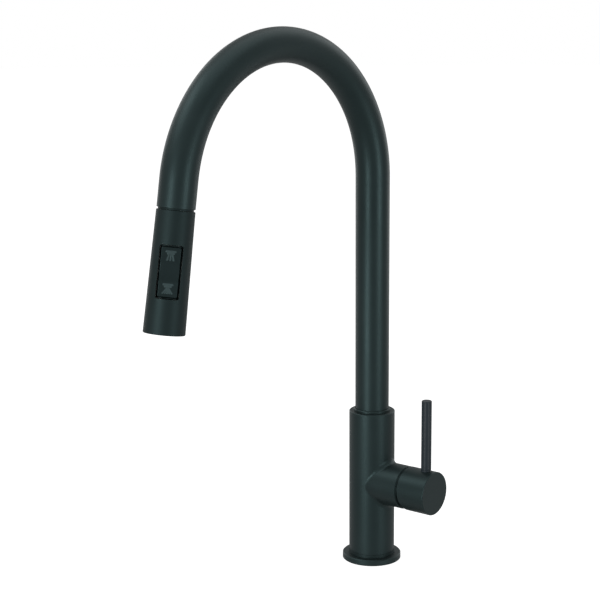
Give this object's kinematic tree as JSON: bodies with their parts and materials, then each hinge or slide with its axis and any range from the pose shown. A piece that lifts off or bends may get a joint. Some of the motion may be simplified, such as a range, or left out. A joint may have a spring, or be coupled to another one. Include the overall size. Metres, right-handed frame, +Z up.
{
  "type": "pull down kitchen faucet",
  "caption": "Single-lever high-arc kitchen mixer tap with a turning gooseneck spout and a pull-down spray head with a rocker for jet or spray.",
  "frame": {"origin": "centre of the base flange's underside, in the plane of the worktop's top face", "axes": "+Z up along the spout's turning axis, +X towards the lever's side, -Y towards the spray head (over the sink)"},
  "size_m": [0.0924, 0.2744, 0.5149],
  "materials": {
    "black_metal": "satin",
    "black_spout": "satin",
    "black_lever": "satin",
    "black_plastic": "satin",
    "rocker_plastic": "satin",
    "steel": "satin",
    "brass": "satin",
    "rubber": "matte",
    "silicone": "matte",
    "white_plastic": "satin",
    "ceramic_disc": "polished",
    "hose_braid": "matte"
  },
  "bodies": {
    "base": {"worktop_seal": "rubber", "base_flange": "black_metal", "foot_ring": "black_metal", "valve_body": "black_metal", "fixing_studs": "steel", "horseshoe_pad": "rubber", "horseshoe_plate": "steel", "fixing_nuts": "brass", "neck_ring": "black_metal", "lower_bush": "white_plastic", "spout_o_rings": "rubber", "spout_clip": "steel", "cartridge_base": "white_plastic", "port_seals": "rubber", "fixed_ceramic_disc": "ceramic_disc", "cartridge_cup": "white_plastic", "disc_collar": "white_plastic", "cartridge_nut": "brass", "dome_cover": "black_metal"},
    "spout": {"spout_tube": "black_spout", "spout_insert": "brass", "dock_bush": "black_plastic", "pull_out_hose": "hose_braid", "hose_plug": "brass"},
    "hose_end": {"hose_ferrule": "steel", "hose_nipple": "steel"},
    "spray_head": {"coupling_nut": "black_metal", "inlet_washer": "rubber", "check_valve_body": "white_plastic", "check_valve_guide": "white_plastic", "check_valve_spring": "steel", "head_shell": "black_plastic", "rocker_frame": "black_plastic", "rocker_pin": "rocker_plastic", "waterway_core": "white_plastic", "face_plate": "white_plastic", "nozzle_mat": "silicone", "aerator_cup": "black_plastic", "aerator_insert": "white_plastic", "face_seal": "rubber"},
    "rocker": {"rocker_button": "rocker_plastic"},
    "diverter": {"diverter_spool": "white_plastic", "spool_o_rings": "rubber"},
    "check_poppet": {"check_valve_poppet": "white_plastic"},
    "rotor": {"cartridge_rotor": "white_plastic", "pivot_pin": "steel"},
    "handle": {"cartridge_stem": "steel", "handle_hub": "black_metal", "handle_lever": "black_lever", "hub_grub_screw": "steel", "hub_plug": "black_plastic"},
    "disc": {"moving_ceramic_disc": "ceramic_disc", "disc_carrier": "white_plastic"}
  },
  "joints": [
    {"name": "spout_swivel", "type": "hinge", "parent": "base", "child": "spout", "pos_m": [0, 0, 0.1], "axis": [0, 0, 1], "continuous": true},
    {"name": "head_pull", "type": "slide", "parent": "spout", "child": "hose_end", "axis": [-0.0093, -0.1603, -0.987], "range_m": [0, 0.22], "stiffness_N_per_m": 4, "springref_m": -1.5},
    {"name": "head_swivel", "type": "hinge", "parent": "hose_end", "child": "spray_head", "pos_m": [-0.01273, -0.21914, 0.32004], "axis": [-0.0093, -0.1603, -0.987], "continuous": true},
    {"name": "mode_rocker", "type": "hinge", "parent": "spray_head", "child": "rocker", "pos_m": [-0.00694, -0.23323, 0.2782], "axis": [0.7579, 0.6428, -0.1115], "range_deg": [-7, 7]},
    {"name": "diverter_slide", "type": "slide", "parent": "spray_head", "child": "diverter", "axis": [0.0093, 0.1603, 0.987], "range_m": [-0.00066, 0.00066]},
    {"name": "check_valve_lift", "type": "slide", "parent": "spray_head", "child": "check_poppet", "axis": [-0.0093, -0.1603, -0.987], "range_m": [0, 0.0015], "stiffness_N_per_m": 150, "springref_m": -0.002, "deforming": ["check_valve_spring"]},
    {"name": "handle_temp", "type": "hinge", "parent": "base", "child": "rotor", "pos_m": [0.03, 0, 0.0681], "axis": [1, 0, 0], "range_deg": [-45, 45]},
    {"name": "handle_flow", "type": "hinge", "parent": "rotor", "child": "handle", "pos_m": [0.03, 0, 0.0681], "axis": [0, 1, 0], "range_deg": [0, 20]},
    {"name": "disc_slide", "type": "slide", "parent": "rotor", "child": "disc", "axis": [0, 0, 1], "range_m": [0, 0.0023]}
  ],
  "couplings": [
    {"joint": "mode_rocker", "follows": "diverter_slide", "rad_per_m": 158.73},
    {"joint": "disc_slide", "follows": "handle_flow", "m_per_rad": 0.006565}
  ]
}
